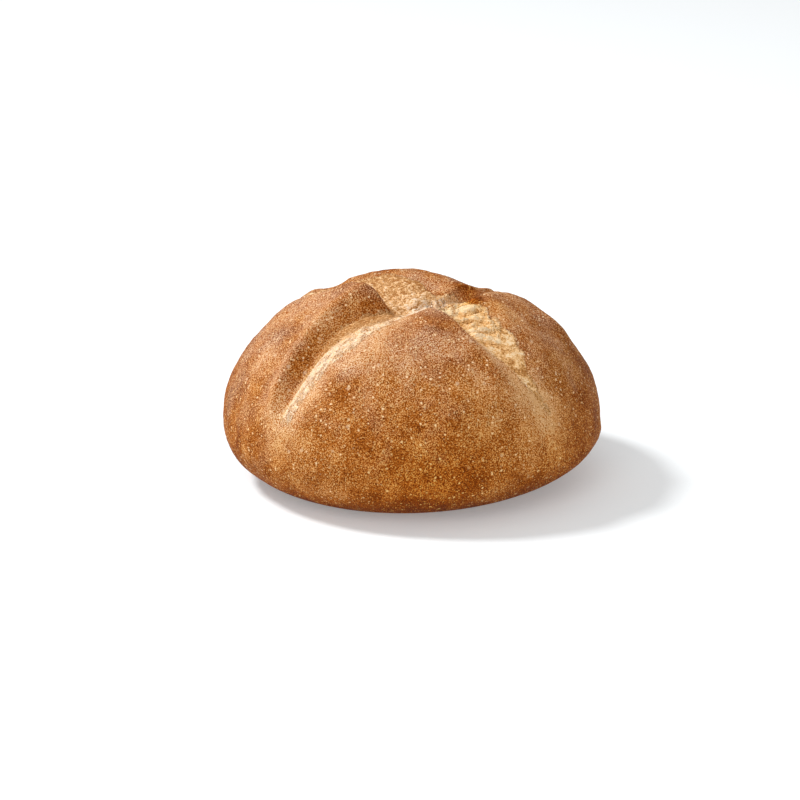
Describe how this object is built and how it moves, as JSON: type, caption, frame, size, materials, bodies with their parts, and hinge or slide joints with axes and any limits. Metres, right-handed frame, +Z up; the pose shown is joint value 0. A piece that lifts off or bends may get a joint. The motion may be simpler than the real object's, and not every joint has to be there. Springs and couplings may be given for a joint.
{
  "type": "bread roll",
  "caption": "Round crusty bread roll with a flat foot, scored with a cross that has torn open in baking into raised lobes of crust over pale crumb.",
  "frame": {"origin": "middle of the object's box, at the level of the flat foot", "axes": "+X to the right and -Y to the front of the roll as it is seen with its two longest tears towards the viewer, +Z up from the flat foot"},
  "size_m": [0.109, 0.1008, 0.0605],
  "materials": {
    "crust": "baked bread crust: dry, matt, golden brown with fine light and dark specks, and cream crumb where it has torn open"
  },
  "bodies": {
    "root": {"roll": "crust"}
  },
  "joints": []
}
